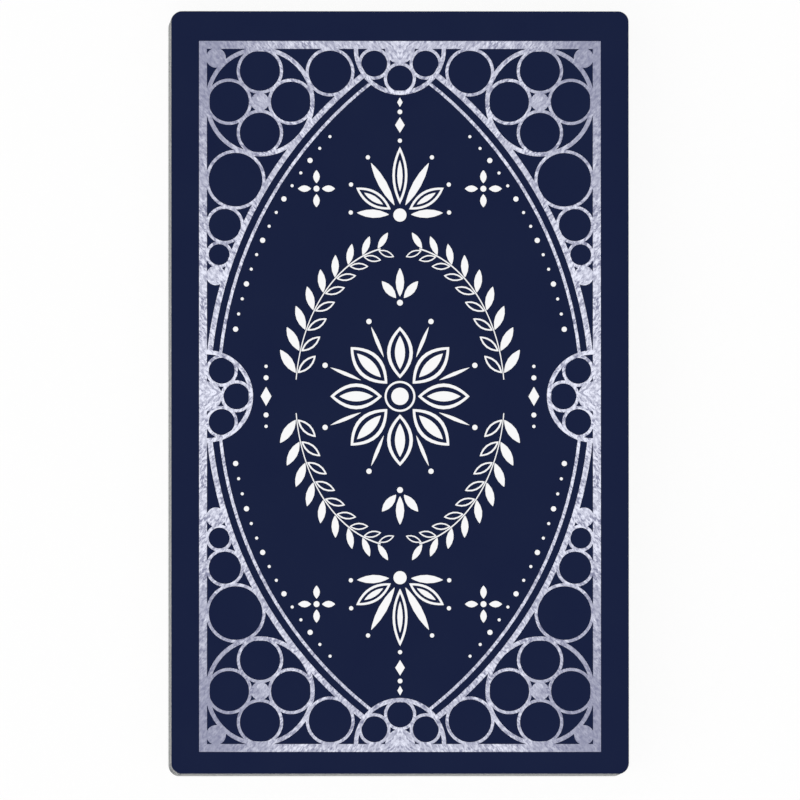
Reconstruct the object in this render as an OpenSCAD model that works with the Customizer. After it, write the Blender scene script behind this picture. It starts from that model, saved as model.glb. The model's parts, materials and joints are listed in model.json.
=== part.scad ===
// A deck of 78 fortune-telling cards, squared up and lying face down.
// X runs across the cards, Y along them and Z up through the stack.
// The origin is on the table, under the middle of the deck.

/* [Cards] */
// Width of a card
card_w = 76.2; // [60:0.1:90]
// Length of a card
card_l = 127; // [105:0.5:145]
// Thickness of the card stock, with its ink and lacquer
card_t = 0.33; // [0.25:0.01:0.5]
// Radius of a card's die-cut corners
corner_r = 1.8; // [0.5:0.1:6]
// Number of cards in the deck
card_count = 78; // [60:1:100]

/* [Stack] */
// Air that stays between two cards of a squared deck
air_gap = 0.03; // [0.02:0.01:0.08]
// How far the cards lie out of line with the top one
square_slack = 0.05; // [0:0.01:0.3]

/* [Foil band] */
// Thickness of the foil on the back of the top card
foil_t = 0.02; // [0.01:0.01:0.05]
// Bare margin beside the band
side_margin = 4.65; // [3:0.05:7]
// Bare margin at each end of the band, before the stamping drops
end_margin = 4.3; // [3:0.05:7]
// How far the stamping sits below the middle of the card
foil_drop = 0.65; // [0:0.05:1.5]
// Width of the band
band_w = 1.3; // [0.8:0.1:2.5]

/* [Foil tracery] */
// Width of the two arches that meet at both ends of the card
arch_w = 0.9; // [0.6:0.05:1.4]
// Bare strip between an arch and the fine line inside it
arch_gap = 1.1; // [0.7:0.1:2.5]
// Width of the fine lines
line_w = 0.5; // [0.35:0.05:0.8]
// Radius of the half roundel in the middle of each side
boss_r = 7.4; // [4:0.1:8]
// Number of lobes in a corner roundel
corner_lobes = 4; // [3:1:6]
// Number of lobes round a boss, half of which show
boss_lobes = 6; // [4:2:8]
// Number of beads between a corner roundel and the boss on its side
side_beads = 4; // [3:1:7]
// Number of beads between a corner roundel and the boss at its end
end_beads = 1; // [1:1:3]
// Number of beads in each row, from the roundel on, that are open rings
open_beads = 3; // [1:1:4]

/* [Hidden] */
// Cards that move one by one: the others stay together in the packet at the bottom
loose_count = 58;
// Height from one card to the next, and of the whole deck without its foil
pitch = card_t + air_gap;
deck_h = card_count * pitch - air_gap;
// The golden angle, whose turns never fall into step
golden_angle = 137.508;
quarter_turn = 90;
half_turn = 180;
full_turn = 360;
// Half the width and length of the field inside the foil band
field_x = card_w / 2 - side_margin - band_w;
field_y = card_l / 2 - end_margin - band_w;
// How far the tracery runs under the band
tuck = band_w / 2;
// Share of a ring's width that lies inside its circle
inside_share = 0.6;
// Width of a roundel's ring, as a share of a fine line's
ring_share = 1.4;
ring_w = ring_share * line_w;
// An arch touches one side of the field in its middle, and ends in the middle of the two ends
arch_r = (pow(field_x, 2) + pow(field_y, 2)) / (2 * field_x);
arch_x = field_x - arch_r;
arch_line_r = arch_r - inside_share * arch_w - arch_gap - (1 - inside_share) * line_w;
// A corner roundel touches an arch and both edges of its corner
roundel_sum = 2 * arch_r + field_y;
roundel_r = roundel_sum - sqrt(pow(roundel_sum, 2) - pow(field_y, 2));
// Radius of the largest pearl in the corner outside a roundel, as a share of the roundel's
corner_pearl_share = (sqrt(2) - 1) / (sqrt(2) + 1);
// Steps in the search for a bead's radius
halvings = 40;
$fn = 96;

function card_name(n) = str("card_", n < 10 ? "0" : "", n);

// Cards are counted from the top, so card 1 is the first to be drawn.
function card_z(n) = (card_count - n) * pitch;
// Turns that grow with the square of a card's number make the edges look uneven, in no pattern.
function slip_x(n) = square_slack * sin(pow(n - 1, 2) * golden_angle);
function slip_y(n) = square_slack * sin(pow(n - 1, 2) * golden_angle / 2);

// Radius of each of the lobes that just fit side by side in a circle, as a share of the circle's.
function lobe_share(lobes) = let (s = sin(half_turn / lobes)) s / (1 + s);

// Down the side, each bead touches the arch, the band and the bead before it. The roundel is bead 0.
function side_bead_r(k) = pow(1 / sqrt(roundel_r) + k / sqrt(arch_r), -2);
function side_bead_y(k) = 2 * sqrt(arch_r * side_bead_r(k));

// Along the end, a bead of radius r that touches the arch and the band has its middle at this x.
function end_bead_x(r) = arch_x + sqrt(pow(arch_r + r, 2) - pow(field_y - r, 2));
// It touches the bead before it where this gap is nothing, which ever smaller steps find.
function end_gap(before, r) = end_bead_x(before) - end_bead_x(r) - 2 * sqrt(before * r);
function end_bead_after(before, r, step, left) =
    left == 0 ? r
    : end_bead_after(before, r + sign(end_gap(before, r)) * step, step / 2, left - 1);
function end_bead_r(k) =
    k == 0 ? roundel_r
    : let (before = end_bead_r(k - 1)) end_bead_after(before, before / 2, before / 4, halvings);

module card_outline() {
    square([card_w, card_l - 2 * corner_r], center = true);
    square([card_w - 2 * corner_r, card_l], center = true);
    for (x = [-1, 1], y = [-1, 1])
        translate([x * (card_w / 2 - corner_r), y * (card_l / 2 - corner_r)])
            circle(corner_r);
}

module card(n) {
    color("#1b213d")
        translate([slip_x(n), slip_y(n), card_z(n)])
            linear_extrude(card_t)
                card_outline();
}

module base_packet() {
    for (n = [loose_count + 1:card_count])
        card(n);
}

// The line lies more inside its circle than outside it, so that rings that touch run into each other.
module ring(r, w) {
    difference() {
        circle(r + (1 - inside_share) * w);
        circle(r - inside_share * w);
    }
}

// Repeats its children on the left and the right.
module left_and_right() {
    for (x = [0, 1])
        mirror([x, 0])
            children();
}

// Repeats its children in all four quarters of the field.
module in_quarters() {
    left_and_right()
        for (y = [0, 1])
            mirror([0, y])
                children();
}

// Puts its children in the middle of every side of the field, with their Y axis pointing inwards.
module on_sides() {
    for (side = [-1, 1]) {
        translate([side * field_x, 0])
            rotate(side * quarter_turn)
                children();
        translate([0, side * field_y])
            rotate(quarter_turn + side * quarter_turn)
                children();
    }
}

module foil_band() {
    difference() {
        square(2 * [field_x + band_w, field_y + band_w], center = true);
        square(2 * [field_x, field_y], center = true);
    }
}

// Each arch and the fine line inside it run from boss to boss.
module arches() {
    difference() {
        left_and_right()
            intersection() {
                translate([arch_x, 0]) {
                    ring(arch_r, arch_w);
                    ring(arch_line_r, line_w);
                }
                translate([-tuck, -field_y - tuck])
                    square([field_x + 2 * tuck, 2 * (field_y + tuck)]);
            }
        on_sides()
            circle(boss_r);
    }
}

// A ring with lobes that touch it, each other and the pearl in the middle.
module roundel(r, lobes) {
    lobe_r = r * lobe_share(lobes);
    ring(r, ring_w);
    for (k = [0:lobes - 1])
        rotate(quarter_turn + k * full_turn / lobes)
            translate([r - lobe_r, 0])
                ring(lobe_r, line_w);
    circle(r - 2 * lobe_r);
}

module boss() {
    reach = boss_r + ring_w;
    intersection() {
        roundel(boss_r, boss_lobes);
        translate([-reach, -tuck])
            square([2 * reach, tuck + reach]);
    }
}

// A pearl runs a quarter of a line's width into all that it touches.
module pearl(r) {
    circle(r + line_w / 4);
}

module bead(k, r) {
    if (k <= open_beads) ring(r, line_w);
    else pearl(r);
}

module corner_tracery() {
    pearl_r = roundel_r * corner_pearl_share;
    translate([field_x - pearl_r, field_y - pearl_r])
        pearl(pearl_r);
    translate([field_x - roundel_r, field_y - roundel_r])
        roundel(roundel_r, corner_lobes);
    for (k = [1:side_beads])
        translate([field_x - side_bead_r(k), side_bead_y(k)])
            bead(k, side_bead_r(k));
    for (k = [1:end_beads])
        translate([end_bead_x(end_bead_r(k)), field_y - end_bead_r(k)])
            bead(k, end_bead_r(k));
}

module top_card_foil() {
    color("#b9bbd0")
        translate([slip_x(1), slip_y(1) - foil_drop, deck_h])
            linear_extrude(foil_t) {
                foil_band();
                arches();
                on_sides()
                    boss();
                in_quarters()
                    corner_tracery();
            }
}

base_packet();
for (n = [1:loose_count]) card(n);
top_card_foil();
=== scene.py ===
# %% [markdown]
# # A deck of fortune-telling cards
# The deck lies face down and squared up, and the camera looks almost straight down on the back of its top
# card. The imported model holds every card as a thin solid, and the foil frame on the top card. This lesson
# gives those solids their finishes, prints a white ornament inside the foil, and puts the same foil and
# print on each lower back that shows when the cards above it slide away.

# %% Load the deck
import json
import math

import bmesh
import bpy
from mathutils import Matrix, Vector

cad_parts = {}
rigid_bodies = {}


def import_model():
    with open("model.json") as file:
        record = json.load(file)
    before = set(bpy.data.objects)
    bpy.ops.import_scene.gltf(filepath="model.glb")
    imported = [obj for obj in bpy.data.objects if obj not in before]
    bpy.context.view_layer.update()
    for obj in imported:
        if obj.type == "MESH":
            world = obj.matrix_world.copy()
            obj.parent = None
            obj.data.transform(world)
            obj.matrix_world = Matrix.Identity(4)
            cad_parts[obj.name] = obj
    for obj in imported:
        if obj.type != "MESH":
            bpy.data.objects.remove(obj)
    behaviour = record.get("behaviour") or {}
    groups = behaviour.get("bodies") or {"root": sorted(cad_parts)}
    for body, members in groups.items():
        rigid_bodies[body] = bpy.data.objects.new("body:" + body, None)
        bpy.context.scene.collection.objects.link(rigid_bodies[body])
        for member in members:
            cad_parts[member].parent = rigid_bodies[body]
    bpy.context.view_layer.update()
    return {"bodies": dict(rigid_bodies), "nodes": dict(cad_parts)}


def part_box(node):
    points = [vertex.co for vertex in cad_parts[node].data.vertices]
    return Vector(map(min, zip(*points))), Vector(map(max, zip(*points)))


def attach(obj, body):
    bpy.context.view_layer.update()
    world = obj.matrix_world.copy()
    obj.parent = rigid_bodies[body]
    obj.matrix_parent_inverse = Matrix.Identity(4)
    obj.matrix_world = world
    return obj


MM = 0.001
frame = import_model()


def corners(node):
    """A node's lowest and highest corners."""
    return [Vector(corner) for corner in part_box(node)]


top_low, top_high = corners("card_01")
card_w, card_l, card_t = top_high - top_low
pitch = top_high.z - corners("card_02")[1].z
air_gap = pitch - card_t
card_count = round(top_high.z / pitch)
print(f"{card_count} cards of {card_w / MM:.1f} x {card_l / MM:.1f} x {card_t / MM:.2f} mm")

# %% [markdown]
# ## Camera
# The photograph is taken from far away with a long lens, so the card hardly shows any perspective, and not
# quite from above: a sliver of the stack's left side and of its near end shows. An orthographic camera could
# show that with no perspective at all, but a long lens is what a photographer uses. The camera stands as far
# to the left and as far in front as makes those slivers so wide, and its lens follows from how many pixels a
# millimetre of the card takes up.

# %% Camera
IMAGE_PX = 800
PX_PER_MM = 6.0056
CARD_CENTRE_PX = Vector((399.98, 392.45))
SLIVER_LEFT = 0.42 * MM
SLIVER_NEAR = 0.37 * MM
CAMERA_HEIGHT = 5.0
SENSOR_MM = 36.0

top_centre = Vector(((top_low.x + top_high.x) / 2, (top_low.y + top_high.y) / 2, top_high.z))
off_centre = (CARD_CENTRE_PX - Vector((IMAGE_PX / 2, IMAGE_PX / 2))) / PX_PER_MM * MM
aim = top_centre + Vector((-off_centre.x, off_centre.y, 0))
lean = (CAMERA_HEIGHT + top_high.z) / top_high.z
eye = Vector((top_low.x - SLIVER_LEFT * lean, top_low.y - SLIVER_NEAR * lean, top_high.z + CAMERA_HEIGHT))

camera = bpy.data.objects.new("camera", bpy.data.cameras.new("camera"))
bpy.context.scene.collection.objects.link(camera)
camera.data.sensor_width = SENSOR_MM
camera.data.lens = SENSOR_MM * (eye - aim).length / (IMAGE_PX / PX_PER_MM * MM)
camera.location = eye
camera.rotation_euler = Vector((0, 0, -1)).rotation_difference(aim - eye).to_euler()
bpy.context.scene.camera = camera
print(f"the camera stands {(eye - aim).length:.2f} m away with a {camera.data.lens:.0f} mm lens")

# %% [markdown]
# ## Colours and nodes
# Colours are written in sRGB hex, as a printer's sheet gives them, and one function turns them into the
# linear values that shaders work in. Another adds a shader node with its settings, its values and its links,
# so that a material reads as a list of what it is made of. Materials can be built by hand in the shader
# editor too, but a script shows every value and makes the same ones each time.

# %% Colours and nodes
def linear(colour):
    """An sRGB hex colour as linear red, green, blue and alpha."""
    parts = [int(colour[i:i + 2], 16) / 255 for i in (0, 2, 4)]
    return [p / 12.92 if p <= 0.04045 else ((p + 0.055) / 1.055) ** 2.4 for p in parts] + [1.0]


def add(tree, kind, values=(), **settings):
    """A new node with its settings, whose sockets are set to values or linked to other nodes' sockets."""
    made = tree.nodes.new(kind)
    for name, setting in settings.items():
        setattr(made, name, setting)
    for socket, value in dict(values).items():
        if isinstance(value, bpy.types.NodeSocket):
            tree.links.new(value, made.inputs[socket])
        else:
            made.inputs[socket].default_value = value
    return made


def bare_tree(block):
    """The emptied node tree of a material or a world."""
    block.use_nodes = True
    block.node_tree.nodes.clear()
    return block.node_tree


print(f"half of full sRGB is {linear('808080')[0]:.3f} of full light")

# %% [markdown]
# ## Table
# The deck lies on a plain white table. A table that is only lit comes out a little grey, and one that only
# glows takes no shadow. So most of what the camera sees of this one is its own white, and the rest is lit,
# which keeps a faint shadow of the deck.

# %% Table
TABLE_SIZE = 6.0
WHITE_SHARE = 0.9

table_finish = bpy.data.materials.new("white_laminate")
tree = bare_tree(table_finish)
path = add(tree, "ShaderNodeLightPath")
seen = add(tree, "ShaderNodeMath", {0: path.outputs["Is Camera Ray"], 1: WHITE_SHARE}, operation="MULTIPLY")
lit = add(tree, "ShaderNodeBsdfDiffuse", {"Color": linear("fcfcfc")})
white = add(tree, "ShaderNodeEmission", {"Color": linear("ffffff"), "Strength": 1.0})
both = add(tree, "ShaderNodeMixShader", {0: seen.outputs[0], 1: lit.outputs[0], 2: white.outputs[0]})
add(tree, "ShaderNodeOutputMaterial", {"Surface": both.outputs[0]})

bm = bmesh.new()
bmesh.ops.create_grid(bm, x_segments=1, y_segments=1, size=TABLE_SIZE / 2)
table = bpy.data.objects.new("table", bpy.data.meshes.new("table"))
bm.to_mesh(table.data)
bm.free()
table.data.materials.append(table_finish)
bpy.context.scene.collection.objects.link(table)
print(f"a white table of {TABLE_SIZE:.0f} x {TABLE_SIZE:.0f} m")

# %% [markdown]
# ## Light
# The photograph has soft, even light and no hard shadows. A ring of lamps could give that, but a white world
# that lights from all round is simpler and smoother. A wide lamp overhead gives the backs a little more than
# the edges. Foil mirrors the white studio and not the lamp, so the lamp is hidden from reflections.

# %% Light
WORLD_LIGHT = 0.55
LAMP_SIZE = 2.0
LAMP_PLACE = Vector((-0.4, -0.5, 2.5))
LAMP_WATTS = 34.0

world = bpy.data.worlds.new("studio")
bpy.context.scene.world = world
tree = bare_tree(world)
path = add(tree, "ShaderNodeLightPath")
mirrored = add(tree, "ShaderNodeMath", {
    0: path.outputs["Is Camera Ray"], 1: path.outputs["Is Glossy Ray"]}, operation="MAXIMUM")
shown = add(tree, "ShaderNodeMath", {
    0: mirrored.outputs[0], 1: path.outputs["Is Transmission Ray"]}, operation="MAXIMUM")
strength = add(tree, "ShaderNodeMapRange", {"Value": shown.outputs[0], "To Min": WORLD_LIGHT, "To Max": 1.0})
sky = add(tree, "ShaderNodeBackground", {"Color": linear("ffffff"), "Strength": strength.outputs[0]})
add(tree, "ShaderNodeOutputWorld", {"Surface": sky.outputs[0]})

lamp = bpy.data.objects.new("overhead", bpy.data.lights.new("overhead", "AREA"))
bpy.context.scene.collection.objects.link(lamp)
lamp.data.size = LAMP_SIZE
lamp.data.energy = LAMP_WATTS
lamp.location = LAMP_PLACE
lamp.rotation_euler = (-LAMP_PLACE).to_track_quat("-Z", "Y").to_euler()
lamp.visible_glossy = False
bpy.context.scene.view_settings.view_transform = "Standard"
print(f"a white sky at {WORLD_LIGHT} and a lamp of {LAMP_WATTS:.0f} W")

# %% [markdown]
# ## Which card a point is in
# A card is navy on its back, pale at its cut edge and ivory on its face. Each could be a material of its
# own, but then the faces of every card would have to be picked out. Here one material serves the whole
# stack, because it works out where a point lies in its own card. The height divided by the pitch of the
# stack counts the cards below, and what is left over is the height in the card.

# %% Which card a point is in
card_stock = bpy.data.materials.new("coated_card_stock")
tree = bare_tree(card_stock)
place = add(tree, "ShaderNodeTexCoord").outputs["Object"]
xyz = add(tree, "ShaderNodeSeparateXYZ", {0: place})
lifted = add(tree, "ShaderNodeMath", {0: xyz.outputs["Z"], 1: air_gap / 2}, operation="ADD")
cards_up = add(tree, "ShaderNodeMath", {0: lifted.outputs[0], 1: pitch}, operation="DIVIDE")
card_height = add(tree, "ShaderNodeMath", {0: cards_up.outputs[0]}, operation="FRACT").outputs[0]
card_number = add(tree, "ShaderNodeMath", {0: cards_up.outputs[0]}, operation="FLOOR").outputs[0]
print(f"a card and the air above it take up {pitch / MM:.2f} mm")

# %% [markdown]
# ## How far in from the cut edge
# The cards of a squared deck still lie a little out of line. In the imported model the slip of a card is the
# sine of a turn that grows with the square of its number, so the same turn finds it here. With that slip
# taken off, a point's distance from the cut edge follows from the outline, a rectangle with round corners.
# It could be painted on each card, but the formula serves them all.

# %% How far in from the cut edge
CORNER_R = 1.8 * MM
SQUARE_SLACK = 0.05 * MM
GOLDEN_ANGLE = math.radians(137.508)

from_top = add(tree, "ShaderNodeMath", {0: card_count - 1.0, 1: card_number}, operation="SUBTRACT")
squared = add(tree, "ShaderNodeMath", {0: from_top.outputs[0], 1: from_top.outputs[0]}, operation="MULTIPLY")
turn_x = add(tree, "ShaderNodeMath", {0: squared.outputs[0], 1: GOLDEN_ANGLE}, operation="MULTIPLY")
turn_y = add(tree, "ShaderNodeMath", {0: turn_x.outputs[0], 1: 0.5}, operation="MULTIPLY")
wave_x = add(tree, "ShaderNodeMath", {0: turn_x.outputs[0]}, operation="SINE")
wave_y = add(tree, "ShaderNodeMath", {0: turn_y.outputs[0]}, operation="SINE")
waves = add(tree, "ShaderNodeCombineXYZ", {"X": wave_x.outputs[0], "Y": wave_y.outputs[0], "Z": 0.0})
slip = add(tree, "ShaderNodeVectorMath", {0: waves.outputs[0], "Scale": SQUARE_SLACK}, operation="SCALE")
flat = add(tree, "ShaderNodeVectorMath", {0: place, 1: (1, 1, 0)}, operation="MULTIPLY")
own = add(tree, "ShaderNodeVectorMath", {0: flat.outputs[0], 1: slip.outputs[0]}, operation="SUBTRACT")
quarter = add(tree, "ShaderNodeVectorMath", {0: own.outputs[0]}, operation="ABSOLUTE")
past = add(tree, "ShaderNodeVectorMath", {
    0: quarter.outputs[0], 1: (card_w / 2 - CORNER_R, card_l / 2 - CORNER_R, 0)}, operation="SUBTRACT")
outer = add(tree, "ShaderNodeVectorMath", {0: past.outputs[0], 1: (0, 0, 0)}, operation="MAXIMUM")
reach = add(tree, "ShaderNodeVectorMath", {0: outer.outputs[0]}, operation="LENGTH")
edge_in = add(tree, "ShaderNodeMath", {
    0: CORNER_R, 1: reach.outputs["Value"]}, operation="SUBTRACT").outputs[0]
print(f"cards lie up to {SQUARE_SLACK / MM:.2f} mm out of line")

# %% [markdown]
# ## Board and ink
# Playing cards are dense white board, printed in solid colours. Board is never quite even: fibres show where
# it is cut, and one sheet is a little paler than the next. Ink takes unevenly too, in soft clouds. A scan of
# real board could show that, but noise of the right size does it for any point, and needs no picture.

# %% Board and ink
NAVY = ("0e1839", "131d3b")
IVORY = ("e6dcc6", "efe8d8")
CORE = ("b4b5b2", "dcddda")
CLOUD_MM = 9.0
FIBRE_MM = 0.5
BATCH_SHARE = 0.6

clouds = add(tree, "ShaderNodeTexNoise", {"Vector": place, "Scale": 1 / (CLOUD_MM * MM), "Detail": 3.0})
fibres = add(tree, "ShaderNodeTexNoise", {"Vector": place, "Scale": 1 / (FIBRE_MM * MM), "Detail": 4.0})
batch = add(tree, "ShaderNodeTexWhiteNoise", {"W": card_number}, noise_dimensions="1D")
tone = add(tree, "ShaderNodeMath", {
    0: batch.outputs["Value"], 1: BATCH_SHARE, 2: fibres.outputs[0]}, operation="MULTIPLY_ADD")

core = add(tree, "ShaderNodeMix", {
    "Factor": tone.outputs[0], 6: linear(CORE[0]), 7: linear(CORE[1])}, data_type="RGBA")
navy = add(tree, "ShaderNodeMix", {
    "Factor": clouds.outputs[0], 6: linear(NAVY[0]), 7: linear(NAVY[1])}, data_type="RGBA")
ivory = add(tree, "ShaderNodeMix", {
    "Factor": clouds.outputs[0], 6: linear(IVORY[0]), 7: linear(IVORY[1])}, data_type="RGBA")
print(f"clouds of {CLOUD_MM} mm in the ink and fibres of {FIBRE_MM} mm in the board")

# %% [markdown]
# ## Back, edge and face
# The die that cuts a card bares its pale core and chips a hair of ink off the rim. So the navy ends just
# inside the edge, further in where the fibres stand out. A bevel could model that rim, but it is a hundredth
# of a millimetre wide, so its colour alone is enough. The ink of the back lies in the uppermost part of the
# card's height, and that of the face in the lowest.

# %% Back, edge and face
RIM_MM = 0.012
FACE_SHARE = 0.07

chipped = add(tree, "ShaderNodeMath", {0: fibres.outputs[0], 1: 2 * RIM_MM * MM}, operation="MULTIPLY")
inside = add(tree, "ShaderNodeMath", {0: edge_in, 1: chipped.outputs[0]}, operation="GREATER_THAN")
high = add(tree, "ShaderNodeMath", {0: card_height, 1: 1 - FACE_SHARE}, operation="GREATER_THAN")
back = add(tree, "ShaderNodeMath", {0: high.outputs[0], 1: inside.outputs[0]}, operation="MULTIPLY")
face = add(tree, "ShaderNodeMath", {0: card_height, 1: FACE_SHARE}, operation="LESS_THAN")
with_face = add(tree, "ShaderNodeMix", {
    "Factor": face.outputs[0], 6: core.outputs[2], 7: ivory.outputs[2]}, data_type="RGBA")
colour = add(tree, "ShaderNodeMix", {
    "Factor": back.outputs[0], 6: with_face.outputs[2], 7: navy.outputs[2]}, data_type="RGBA")
print(f"about {RIM_MM} mm of the rim is bare board")

# %% [markdown]
# ## Lacquer
# The back is lacquered to a soft shine, and the cut edge is dull. The lacquer follows the tooth of the
# board, so a fine bump breaks up what it mirrors. Real relief that fine would take millions of faces.

# %% Lacquer
TOOTH_MM = 0.35
TOOTH_DEPTH_MM = 0.01
TOOTH_STRENGTH = 0.25
BOARD_SHINE = 0.08
BOARD_ROUGH = 0.85
LACQUER_ROUGH = (0.4, 0.5)

tooth = add(tree, "ShaderNodeTexNoise", {"Vector": place, "Scale": 1 / (TOOTH_MM * MM), "Detail": 2.0})
relief = add(tree, "ShaderNodeBump", {
    "Strength": TOOTH_STRENGTH, "Distance": TOOTH_DEPTH_MM * MM, "Height": tooth.outputs[0]})
lacquer = add(tree, "ShaderNodeMapRange", {
    "Value": tooth.outputs[0], "To Min": LACQUER_ROUGH[0], "To Max": LACQUER_ROUGH[1]})
rough = add(tree, "ShaderNodeMix", {"Factor": back.outputs[0], 2: BOARD_ROUGH, 3: lacquer.outputs[0]})
board = add(tree, "ShaderNodeBsdfPrincipled", {
    "Base Color": colour.outputs[2], "Roughness": rough.outputs[0], "Normal": relief.outputs[0],
    "Specular IOR Level": BOARD_SHINE})
add(tree, "ShaderNodeOutputMaterial", {"Surface": board.outputs[0]})


def finish_node(name, material):
    """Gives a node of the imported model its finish."""
    for slot in frame["nodes"][name].material_slots:
        slot.link = "OBJECT"
        slot.material = material


card_nodes = [name for name in frame["nodes"] if name != "top_card_foil"]
for name in card_nodes:
    finish_node(name, card_stock)
print(f"{len(card_nodes)} nodes of cards are finished")

# %% [markdown]
# ## Grain of the foil
# Hot-stamped foil is an aluminium film pressed onto the lacquer with a heated die. It takes up the tooth of
# the board, so it has a fine crinkled grain instead of a mirror's shine. The crinkles run slantwise,
# mirrored in the four quarters of the card as its frame is. A scan of real foil could show them, but it
# would blur from close by. So noise that is turned and drawn out makes them, and coarser noise makes some
# patches of them deeper than others.

# %% Grain of the foil
GRAIN_MM = 0.34
GRAIN_SWIRL = 0.6
SLANT = math.radians(35)
SLANT_SHARE = 0.45
PATCH_MM = 3.5

foil_low, foil_high = corners("top_card_foil")
foil_half = (foil_high - foil_low) / 2
foil = bpy.data.materials.new("stamped_aluminium_foil")
tree = bare_tree(foil)
place = add(tree, "ShaderNodeTexCoord").outputs["Object"]
quarter = add(tree, "ShaderNodeVectorMath", {0: place}, operation="ABSOLUTE").outputs[0]
slanted = add(tree, "ShaderNodeVectorRotate", {"Vector": quarter, "Angle": SLANT}, rotation_type="Z_AXIS")
drawn_out = add(tree, "ShaderNodeVectorMath", {
    0: slanted.outputs[0], 1: (1.0, SLANT_SHARE, 1.0)}, operation="MULTIPLY").outputs[0]
grain = add(tree, "ShaderNodeTexNoise", {
    "Vector": drawn_out, "Scale": 1 / (GRAIN_MM * MM), "Detail": 3.0,
    "Distortion": GRAIN_SWIRL}).outputs[0]
patches = add(tree, "ShaderNodeTexNoise", {
    "Vector": quarter, "Scale": 1 / (PATCH_MM * MM), "Detail": 2.0}).outputs[0]
print(f"the foil has a grain of {GRAIN_MM} mm in patches of {PATCH_MM} mm")

# %% [markdown]
# ## Painted sheen of the foil
# The film is a smooth grey in the corners. Away from them it gets lighter and rougher, faster along the
# short ends of the card than along its sides, and less far. That is a painted sheen: lamps that are mirrored
# in the film could shade it like that, but only from one side, so the painted sheen is worked out from the
# distance to the nearest corner.

# %% Painted sheen of the foil
CORNER_MM, FAR_MM = 2.0, 52.0
END_PULL, END_MM = 2.1, 29.5
CORNER_SHEEN, FAR_SHEEN = 0.12, 0.7
CORNER_SHEEN_DEPTH, FAR_SHEEN_DEPTH = 0.8, 4.6
NOISE_LOW, NOISE_MIDDLE, NOISE_HIGH = 0.35, 0.5, 0.65
CALM_SHARE, CRINKLED_SHARE = 0.5, 1.3

# Distance from the nearest corner, which sets the painted sheen.
from_corner = add(tree, "ShaderNodeVectorMath", {0: quarter, 1: foil_half}, operation="SUBTRACT")
pulled = add(tree, "ShaderNodeVectorMath", {
    0: from_corner.outputs[0], 1: (END_PULL, 1, 0)}, operation="MULTIPLY")
held = add(tree, "ShaderNodeVectorMath", {
    0: pulled.outputs[0], 1: (-END_MM * MM, -card_l, 0)}, operation="MAXIMUM")
apart = add(tree, "ShaderNodeVectorMath", {0: held.outputs[0]}, operation="LENGTH").outputs["Value"]
reach = {"Value": apart, "From Min": CORNER_MM * MM, "From Max": FAR_MM * MM}
# Painted sheen: the colour gets lighter further from the nearest corner, standing in for mirrored lamps.
middle = add(tree, "ShaderNodeMapRange", {
    **reach, "To Min": CORNER_SHEEN, "To Max": FAR_SHEEN}, interpolation_type="SMOOTHSTEP")
sheen_grain_depth = add(tree, "ShaderNodeMapRange", {
    **reach, "To Min": CORNER_SHEEN_DEPTH, "To Max": FAR_SHEEN_DEPTH}, interpolation_type="SMOOTHSTEP")
crinkle = add(tree, "ShaderNodeMapRange", {
    "Value": patches, "From Min": NOISE_LOW, "From Max": NOISE_HIGH,
    "To Min": CALM_SHARE, "To Max": CRINKLED_SHARE})
# How deeply the grain shades: the painted sheen times real patches of deeper crinkle.
sheen_and_crinkle_depth = add(tree, "ShaderNodeMath", {0: sheen_grain_depth.outputs[0], 1: crinkle.outputs[0]}, operation="MULTIPLY")
ripple = add(tree, "ShaderNodeMath", {0: grain, 1: NOISE_MIDDLE}, operation="SUBTRACT")
# Grain plus painted sheen.
shade = add(tree, "ShaderNodeMath", {
    0: ripple.outputs[0], 1: sheen_and_crinkle_depth.outputs[0], 2: middle.outputs[0]}, operation="MULTIPLY_ADD")
print(f"the tone rises from {CORNER_SHEEN} in a corner to {FAR_SHEEN} at {FAR_MM:.0f} mm from it")

# %% [markdown]
# ## Stamped foil
# The tone is the grain together with the painted sheen. It picks a colour between the two ends of a silver
# with a lilac tint, which is that of the lacquer on the film. A grey ink could have the same colour, but it
# wouldn't mirror the studio as a metal does. The grain that shades the film also gives it its relief, and
# makes it rougher where it stands up.

# %% Stamped foil
FOIL = ("898ba5", "eef0ff")
GRAIN_DEPTH_MM = 0.02
GRAIN_STRENGTH = 0.5
FOIL_ROUGH = (0.28, 0.5)

# The grain and the painted sheen pick the silver between its two ends.
silver = add(tree, "ShaderNodeMix", {
    "Factor": shade.outputs[0], 6: linear(FOIL[0]), 7: linear(FOIL[1])}, data_type="RGBA")
relief = add(tree, "ShaderNodeBump", {
    "Strength": GRAIN_STRENGTH, "Distance": GRAIN_DEPTH_MM * MM, "Height": grain})
rough = add(tree, "ShaderNodeMapRange", {
    "Value": grain, "To Min": FOIL_ROUGH[0], "To Max": FOIL_ROUGH[1]})
film = add(tree, "ShaderNodeBsdfPrincipled", {
    "Base Color": silver.outputs[2], "Metallic": 1.0, "Roughness": rough.outputs[0],
    "Normal": relief.outputs[0]})
add(tree, "ShaderNodeOutputMaterial", {"Surface": film.outputs[0]})
finish_node("top_card_foil", foil)
print("the top card's foil is finished")

# %% [markdown]
# ## White ink
# The ornament inside the foil is screen-printed in opaque white, which lies on the lacquer as a matt film.
# The mesh of the screen leaves it a little uneven. A single white would do from afar, but from close by it
# would look like plastic, so the same noise gives the colour, the shine and the relief a faint grain.

# %% White ink
MESH_MM = 0.3
INK = ("f8f8fa", "ffffff")
INK_DEPTH_MM = 0.01
INK_STRENGTH = 0.2
INK_SHINE = 0.1
INK_ROUGH = (0.55, 0.7)

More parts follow.
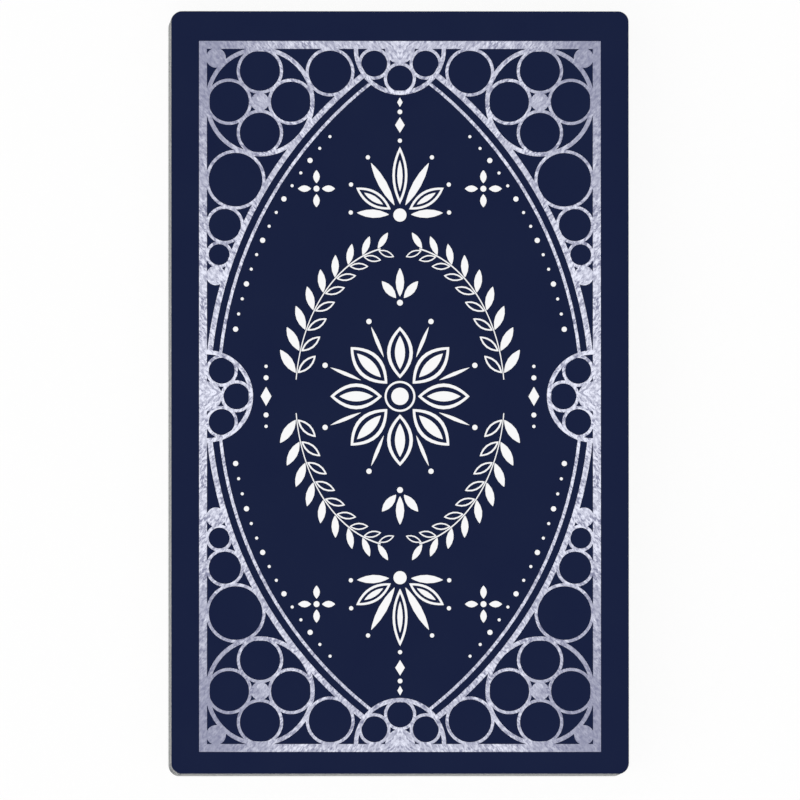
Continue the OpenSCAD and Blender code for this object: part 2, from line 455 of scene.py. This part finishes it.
white_ink = bpy.data.materials.new("opaque_white_screen_ink")
tree = bare_tree(white_ink)
place = add(tree, "ShaderNodeTexCoord").outputs["Object"]
screen = add(tree, "ShaderNodeTexNoise", {
    "Vector": place, "Scale": 1 / (MESH_MM * MM), "Detail": 2.0}).outputs[0]
tint = add(tree, "ShaderNodeMix", {
    "Factor": screen, 6: linear(INK[0]), 7: linear(INK[1])}, data_type="RGBA")
relief = add(tree, "ShaderNodeBump", {
    "Strength": INK_STRENGTH, "Distance": INK_DEPTH_MM * MM, "Height": screen})
rough = add(tree, "ShaderNodeMapRange", {
    "Value": screen, "To Min": INK_ROUGH[0], "To Max": INK_ROUGH[1]})
print_film = add(tree, "ShaderNodeBsdfPrincipled", {
    "Base Color": tint.outputs[2], "Roughness": rough.outputs[0], "Normal": relief.outputs[0],
    "Specular IOR Level": INK_SHINE})
add(tree, "ShaderNodeOutputMaterial", {"Surface": print_film.outputs[0]})
print(f"the ink has a grain of {MESH_MM} mm")

# %% [markdown]
# ## Dots and hoops
# A printed picture could be an image texture, but as a film of real shapes it stays sharp at any size. Every
# shape starts as a circle. A dot is the circle itself, and a hoop is one whose edge is extruded and scaled.
# A matrix says where a shape goes and how it is turned. All sizes are in millimetres on the card, with the
# ornament's middle at 0.

# %% Dots and hoops
def at(x, y, turn=0.0):
    """A place on the card, turned by an angle in degrees."""
    return Matrix.Translation((x, y, 0)) @ Matrix.Rotation(math.radians(turn), 4, "Z")


def out(turn, radius):
    """A place at a distance from the middle, facing away from it."""
    return Matrix.Rotation(math.radians(turn), 4, "Z") @ Matrix.Translation((radius, 0, 0))


def dot(bm, where, radius, sides):
    """A round dot, or a diamond where it has four sides."""
    return bmesh.ops.create_circle(bm, cap_ends=True, segments=sides, radius=radius, matrix=where)["verts"]


def hoop(bm, radius, width, sides):
    """A round line about the middle."""
    inner = bmesh.ops.create_circle(bm, segments=sides, radius=radius - width / 2)["verts"]
    rim = list(dict.fromkeys(edge for vert in inner for edge in vert.link_edges))
    wide = bmesh.ops.extrude_edge_only(bm, edges=rim)["geom"]
    outer = [vert for vert in wide if isinstance(vert, bmesh.types.BMVert)]
    grow = (radius + width / 2) / (radius - width / 2)
    bmesh.ops.scale(bm, vec=(grow, grow, 1), verts=outer)
    return inner + outer


print(f"3 mm out at a quarter turn is {out(90, 3).translation.y:.1f} mm up")

# %% [markdown]
# ## Petals and diamonds
# A petal is a circle pinched to a point at both ends: its breadth follows the square of the circle's. A
# Bezier curve could draw it too, but this way a length and a breadth are all that it needs, and a hoop that
# is pinched is a petal's outline. A diamond is a circle with four sides.

# %% Petals and diamonds
def petal(bm, where, length, width, sides, line=0.0):
    """A leaf that grows from its place, solid or drawn as a line that is a share of its breadth."""
    verts = hoop(bm, (2 - line) / 4, line / 2, sides) if line else dot(bm, Matrix(), 0.5, sides)
    for vert in verts:
        vert.co = (vert.co.x + 0.5) * length, 2 * vert.co.y * abs(vert.co.y) * width, 0
    bmesh.ops.transform(bm, matrix=where, verts=verts)


def diamond(bm, x, y, half_w, half_l):
    """A diamond that stands on its point."""
    verts = dot(bm, Matrix(), 1, 4)
    bmesh.ops.scale(bm, vec=(half_w, half_l, 1), verts=verts)
    bmesh.ops.translate(bm, vec=(x, y, 0), verts=verts)


bm = bmesh.new()
petal(bm, Matrix(), 3, 1, 24)
print(f"a petal of 3 x 1 mm covers {sum(face.calc_area() for face in bm.faces):.2f} square mm")
bm.free()

# %% [markdown]
# ## Flower
# In the middle of the card is a flower with eight petals. Each petal is drawn as a line and filled with a
# smaller one, and a stamen with a dot at its tip stands between two of them. An array modifier could turn
# one petal about the middle, but a loop needs no object to turn it by, and shows every angle.

# %% Flower
HEART_R = 1.45
COLLAR_R, COLLAR_W = 2.4, 0.34
PETALS = 8
PETAL_OUT, PETAL_L, PETAL_W, PETAL_LINE = 3.0, 8.6, 4.3, 0.14
FILL_OUT, FILL_L, FILL_W = 4.5, 5.6, 1.7
STAMEN_OUT, STAMEN_L, STAMEN_W = 7.0, 5.6, 0.6
TIP_OUT, TIP_R = 13.5, 0.45


def flower(bm, fine):
    """Petals that are drawn and filled, with stamens between them."""
    dot(bm, Matrix(), HEART_R, 2 * fine)
    hoop(bm, COLLAR_R, COLLAR_W, 3 * fine)
    for k in range(PETALS):
        turn = k * 360 / PETALS
        between = turn + 180 / PETALS
        petal(bm, out(turn, PETAL_OUT), PETAL_L, PETAL_W, 2 * fine, line=PETAL_LINE)
        petal(bm, out(turn, FILL_OUT), FILL_L, FILL_W, 2 * fine)
        petal(bm, out(between, STAMEN_OUT), STAMEN_L, STAMEN_W, fine)
        dot(bm, out(between, TIP_OUT), TIP_R, fine)


print(f"the flower has {PETALS} petals and is {2 * (TIP_OUT + TIP_R):.1f} mm wide")

# %% [markdown]
# ## Stems of the wreath
# An oval of four laurel sprays goes round the flower. Their stems could be four curves with a bevel, but
# then they would be round wires, and the print is flat. So they are one hoop, stretched to an oval and
# parted where a spray ends and the next begins.

# %% Stems of the wreath
WREATH_X, WREATH_Y = 17.4, 25.0
STEM_W = 0.24
TIP_GAP_SHARE, FOOT_GAP_SHARE = 0.2, 0.1


def stems(bm, fine):
    """An oval line, parted above, below and at both sides."""
    verts = hoop(bm, 1, STEM_W / WREATH_Y, 12 * fine)
    middles = {face: face.calc_center_median() for vert in verts for face in vert.link_faces}
    parted = [face for face, middle in middles.items()
              if abs(middle.x) < TIP_GAP_SHARE or abs(middle.y) < FOOT_GAP_SHARE]
    bmesh.ops.scale(bm, vec=(WREATH_X, WREATH_Y, 1), verts=verts)
    bmesh.ops.delete(bm, geom=parted, context="FACES")


print(f"the oval measures {2 * WREATH_X} x {2 * WREATH_Y} mm")

# %% [markdown]
# ## Leaves of the wreath
# Pairs of leaves stand along each stem, solid outside and drawn as a line inside. They get smaller towards
# its tip, and lean out from the way that the oval runs at their foot. Geometry nodes could spread them along
# a curve, but an oval has a formula that gives the place and the direction of every pair.

# %% Leaves of the wreath
LEAF_PAIRS = 9
FIRST_PAIR, PAIR_STEP = 8.5, 8.6
LEAF_LEAN = 40
SHRINK_SHARE = 0.04
SOLID_L, SOLID_W = 4.7, 1.55
DRAWN_L, DRAWN_W, DRAWN_LINE = 4.2, 1.6, 0.22


def spray(bm, right, up, fine):
    """Leaf pairs from one side of the oval to its upper or lower end."""
    for k in range(LEAF_PAIRS):
        t = math.radians(FIRST_PAIR + PAIR_STEP * k)
        x, y = WREATH_X * math.cos(t) * right, WREATH_Y * math.sin(t) * up
        run = math.atan2(WREATH_Y * math.cos(t) * up, -WREATH_X * math.sin(t) * right)
        foot = at(x, y, math.degrees(run))
        lean = LEAF_LEAN * right * up
        size = 1 - SHRINK_SHARE * k
        petal(bm, foot @ out(-lean, STEM_W), SOLID_L * size, SOLID_W * size, fine)
        petal(bm, foot @ out(lean, STEM_W), DRAWN_L * size, DRAWN_W * size, fine, line=DRAWN_LINE)


print(f"each spray has {LEAF_PAIRS} pairs of leaves")

# %% [markdown]
# ## Palmettes
# A palmette, a fan of seven leaves, opens above and below the wreath. The leaves get shorter towards its
# sides, and are drawn and solid by turns. Each could be placed by hand, but equal turns about the foot keep
# the two halves alike, and keep every leaf clear of the next.

# %% Palmettes
PALM_Y, PALM_R = 30.2, 1.1
PALM_SIDE, PALM_TURN = 3, 29
PALM_OUT, PALM_L, PALM_LESS = 1.8, 9.6, 1.4
PALM_SOLID_W, PALM_DRAWN_W, PALM_LINE = 1.4, 2.5, 0.18
PALM_FILL_FROM_SHARE, PALM_FILL_SHARE, PALM_FILL_W = 0.22, 0.55, 0.9
PALM_DOT_OFF, PALM_DOT_R = 1.0, 0.36


def palmette(bm, up, fine):
    """A fan of leaves, drawn and solid by turns, with a dot off each tip."""
    foot = at(0, PALM_Y * up)
    dot(bm, foot, PALM_R, 2 * fine)
    for k in range(-PALM_SIDE, PALM_SIDE + 1):
        turn = 90 * up + PALM_TURN * k
        length = PALM_L - PALM_LESS * abs(k)
        leaf = foot @ out(turn, PALM_OUT)
        if k % 2:
            petal(bm, leaf, length, PALM_SOLID_W, fine)
        else:
            petal(bm, leaf, length, PALM_DRAWN_W, 2 * fine, line=PALM_LINE)
            fill = leaf @ at(PALM_FILL_FROM_SHARE * length, 0)
            petal(bm, fill, PALM_FILL_SHARE * length, PALM_FILL_W, fine)
        dot(bm, leaf @ at(length + PALM_DOT_OFF, 0), PALM_DOT_R, fine)


print(f"a palmette has {2 * PALM_SIDE + 1} leaves, and the longest is {PALM_L} mm long")

# %% [markdown]
# ## Florets, chains and buds
# Smaller shapes fill what is left. Two diamonds with a dot between them lead from each palmette to the end
# of the card, a floret stands on either side of the palmette, and a bud of three leaves fills the wreath
# above and below the flower. A mirror modifier could repeat them, but a sign for right and for up does it
# without an object for each.

# %% Florets, chains and buds
FLORET_X, FLORET_Y, FLORET_R = 13.9, 34.6, 0.5
FLORET_OUT, FLORET_L, FLORET_W = 0.9, 2.2, 1.1
CHAIN_LARGE_Y, CHAIN_LARGE_W, CHAIN_LARGE_L = 45.2, 0.8, 1.3
CHAIN_DOT_Y, CHAIN_DOT_R = 47.4, 0.4
CHAIN_SMALL_Y, CHAIN_SMALL_W, CHAIN_SMALL_L = 49.0, 0.45, 0.8
BUD_Y, BUD_R, BUD_TURN = 15.6, 0.5, 40
BUD_OUT, BUD_L, BUD_LESS, BUD_W = 1.0, 4.8, 1.1, 1.4


def floret(bm, right, up, fine):
    """Four short petals about a dot."""
    middle = at(FLORET_X * right, FLORET_Y * up)
    dot(bm, middle, FLORET_R, fine)
    for k in range(4):
        petal(bm, middle @ out(90 * k, FLORET_OUT), FLORET_L, FLORET_W, fine)


def chain(bm, up, fine):
    """Diamonds and a dot that lead to the end of the card."""
    diamond(bm, 0, CHAIN_LARGE_Y * up, CHAIN_LARGE_W, CHAIN_LARGE_L)
    dot(bm, at(0, CHAIN_DOT_Y * up), CHAIN_DOT_R, fine)
    diamond(bm, 0, CHAIN_SMALL_Y * up, CHAIN_SMALL_W, CHAIN_SMALL_L)


def bud(bm, up, fine):
    """Three small leaves between the flower and the wreath."""
    foot = at(0, BUD_Y * up)
    dot(bm, foot, BUD_R, fine)
    for k in range(-1, 2):
        petal(bm, foot @ out(90 * up + BUD_TURN * k, BUD_OUT), BUD_L - BUD_LESS * abs(k), BUD_W, fine)


print(f"the chains end {CHAIN_SMALL_Y + CHAIN_SMALL_L:.1f} mm from the middle")

# %% [markdown]
# ## Strings of dots
# A string of dots follows the inner line of each foil arch. It could be traced from the arch's mesh, but an
# arch is a part of a circle: it touches the foil band in the middle of one side and ends in the middles of
# the two ends, so its radius follows from the size of the frame. Beside the wreath is a diamond with two
# dots above it and two below.

# %% Strings of dots
BAND_W = 1.3
PEARL_IN = 3.8
PEARLS, FIRST_PEARL, PEARL_STEP = 15, 10, 2.3
PEARL_R, BIG_PEARL_R, BIG_EVERY = 0.26, 0.44, 3
SIDE_X, SIDE_W, SIDE_L = 22.3, 0.9, 1.6
SIDE_DOTS = {3.1: 0.42, 5.0: 0.28}

field = foil_half / MM - Vector((BAND_W, BAND_W, 0))
arch_r = field.xy.length_squared / (2 * field.x)
arch_x = field.x - arch_r
print(f"the arches have a radius of {arch_r:.2f} mm about a point {arch_x:.2f} mm from the middle")


def strings(bm, right, up, fine):
    """Dots along an arch, every third one bigger, and the two beside the wreath."""
    for k in range(PEARLS):
        where = at(arch_x, 0) @ out(FIRST_PEARL + PEARL_STEP * k, arch_r - PEARL_IN)
        x, y = where.translation.xy
        dot(bm, at(x * right, y * up), PEARL_R if k % BIG_EVERY else BIG_PEARL_R, fine)
    for y, radius in SIDE_DOTS.items():
        dot(bm, at(SIDE_X * right, y * up), radius, fine)

# %% [markdown]
# ## The print as a film
# All the shapes together are one flat sheet of faces. Once they all face the same way, solidify gives the
# sheet the thickness of the ink, which closes it. A modifier could do that as well, but then the closed film
# couldn't be checked here. The top card, which is seen from close by, has rounder shapes than most of those
# below it.

# %% The print as a film
INK_T = 0.008
ROUND, PLAIN = 14, 6

print_centre = Vector(((foil_low.x + foil_high.x) / 2, (foil_low.y + foil_high.y) / 2, top_high.z))


def ink_film(fine):
    """The ornament as a closed film on the top card."""
    bm = bmesh.new()
    flower(bm, fine)
    stems(bm, fine)
    for up in (1, -1):
        palmette(bm, up, fine)
        chain(bm, up, fine)
        bud(bm, up, fine)
    for right in (1, -1):
        diamond(bm, SIDE_X * right, 0, SIDE_W, SIDE_L)
        for up in (1, -1):
            spray(bm, right, up, fine)
            floret(bm, right, up, fine)
            strings(bm, right, up, fine)
    bm.normal_update()
    bmesh.ops.reverse_faces(bm, faces=[face for face in bm.faces if face.normal.z < 0])
    bmesh.ops.solidify(bm, geom=bm.faces[:], thickness=INK_T)
    bmesh.ops.recalc_face_normals(bm, faces=bm.faces)
    lowest = min(vert.co.z for vert in bm.verts)
    bmesh.ops.translate(bm, vec=(0, 0, -lowest), verts=bm.verts)
    bmesh.ops.transform(bm, matrix=Matrix.Translation(print_centre) @ Matrix.Scale(MM, 4), verts=bm.verts)
    return bm


print(f"the middle of the print lies {(top_centre.y - print_centre.y) / MM:.2f} mm below the card's")

# %% [markdown]
# ## The top card's ink
# A film becomes a piece of the scene when it is linked, rides on the body of its card and has its material
# in a slot of its own mesh. It could be a part of the card's own mesh, but the imported solids stay as they
# are.
# An edge with other than two faces would be a tear in the film, so those are counted.

# %% The top card's ink
def place_piece(bm, name, body, materials):
    """Turns a bmesh into a piece of the scene that rides on a body."""
    piece = bpy.data.objects.new(name, bpy.data.meshes.new(name))
    bm.to_mesh(piece.data)
    for material in materials:
        piece.data.materials.append(material)
    bpy.context.scene.collection.objects.link(piece)
    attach(piece, body)
    return len(bm.faces)


bm = ink_film(ROUND)
torn = sum(len(edge.link_faces) != 2 for edge in bm.edges)
faces = place_piece(bm, "back_ink_01", "card_01", [white_ink])
bm.free()
print(f"the top card's ink has {faces} faces and {torn} open edges")

# %% [markdown]
# ## A lower back
# The cards below have the same back as the top one. Its foil is a copy of the top card's foil, and its ink
# is the same ornament. They could stay two pieces, but joined in one mesh with two materials there are half
# as many pieces to move.

# %% A lower back
WELD_MM = 0.001


def lower_back(fine):
    """Foil and ink joined, in the place of the top card's."""
    ink = ink_film(fine)
    for face in ink.faces:
        face.material_index = 1
    ink_mesh = bpy.data.meshes.new("back_ink")
    ink.to_mesh(ink_mesh)
    ink.free()
    bm = bmesh.new()
    bm.from_mesh(frame["nodes"]["top_card_foil"].data)
    bmesh.ops.remove_doubles(bm, verts=bm.verts, dist=WELD_MM * MM)
    for face in bm.faces:
        face.material_index = 0
    bm.from_mesh(ink_mesh)
    bpy.data.meshes.remove(ink_mesh)
    return bm


plain_back, round_back = lower_back(PLAIN), lower_back(ROUND)
print(f"a lower back has {len(plain_back.faces)} faces, and a rounder one {len(round_back.faces)}")

# %% [markdown]
# ## The backs below
# Each loose card gets its back, and so does the packet at the bottom, whose cards stay together. The film is
# thinner than the air between two cards, so they slide over it. The cards above slide clean off two of the
# backs, whose shapes are as round as the top one's. Of the others only a strip is ever seen, so their dots
# have fewer sides. All of them could be as round, but then the scene would have nearly half as many
# triangles again.

# %% The backs below
BARED = ("card_02", "card_40")

made = 0
for body in frame["bodies"]:
    if body == "card_01":
        continue
    low, high = corners(body)
    bm = (round_back if body in BARED else plain_back).copy()
    move = Vector(((low.x + high.x) / 2, (low.y + high.y) / 2, high.z)) - top_centre
    bmesh.ops.translate(bm, vec=move, verts=bm.verts)
    name = body.replace("card", "back_print").replace("base_packet", "back_print_59")
    made += place_piece(bm, name, body, [foil, white_ink])
    bm.free()
plain_back.free()
round_back.free()
